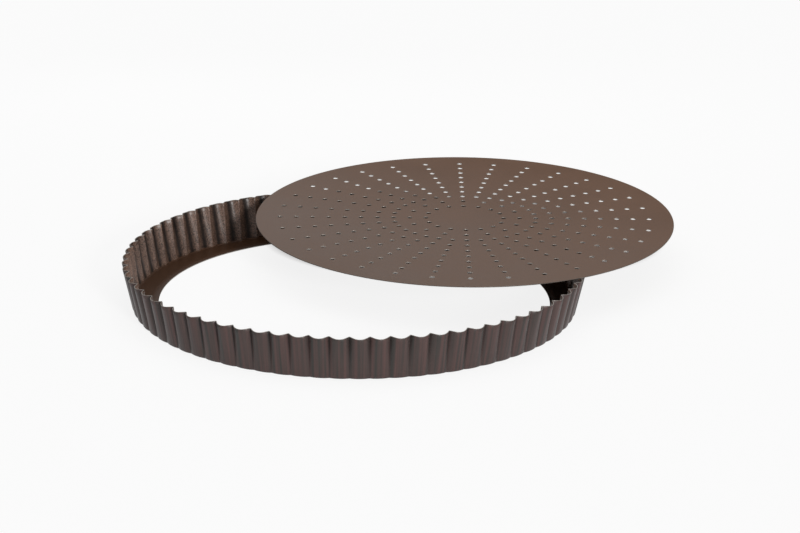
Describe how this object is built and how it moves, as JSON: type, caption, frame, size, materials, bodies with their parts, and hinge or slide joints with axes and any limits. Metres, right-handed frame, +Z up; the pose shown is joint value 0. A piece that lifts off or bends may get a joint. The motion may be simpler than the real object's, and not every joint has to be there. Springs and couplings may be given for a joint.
{
  "type": "perforated tart pan",
  "caption": "Round fluted tart pan of coated steel: a flared fluted ring with an inward ledge, and a loose flat perforated base that lifts out, lying across the rim.",
  "frame": {"origin": "on the table, under the middle of the footprint of the ring and the base together", "axes": "+Z up along the ring's axis, -Y towards the front, where the ring stands clear of the base, +X to the right"},
  "size_m": [0.3374, 0.35, 0.0273],
  "materials": {
    "ring_coating": "satin brown non-stick coating on sheet steel, worn thin along the cut rim",
    "base_coating": "satin brown non-stick coating on flat sheet steel with punched holes"
  },
  "bodies": {
    "ring": {"fluted_ring": "ring_coating"},
    "base": {"perforated_base": "base_coating"}
  },
  "joints": [
    {"name": "base_lift", "type": "slide", "parent": "ring", "child": "base", "axis": [0, 0, 1], "range_m": [0, 0.1]}
  ]
}
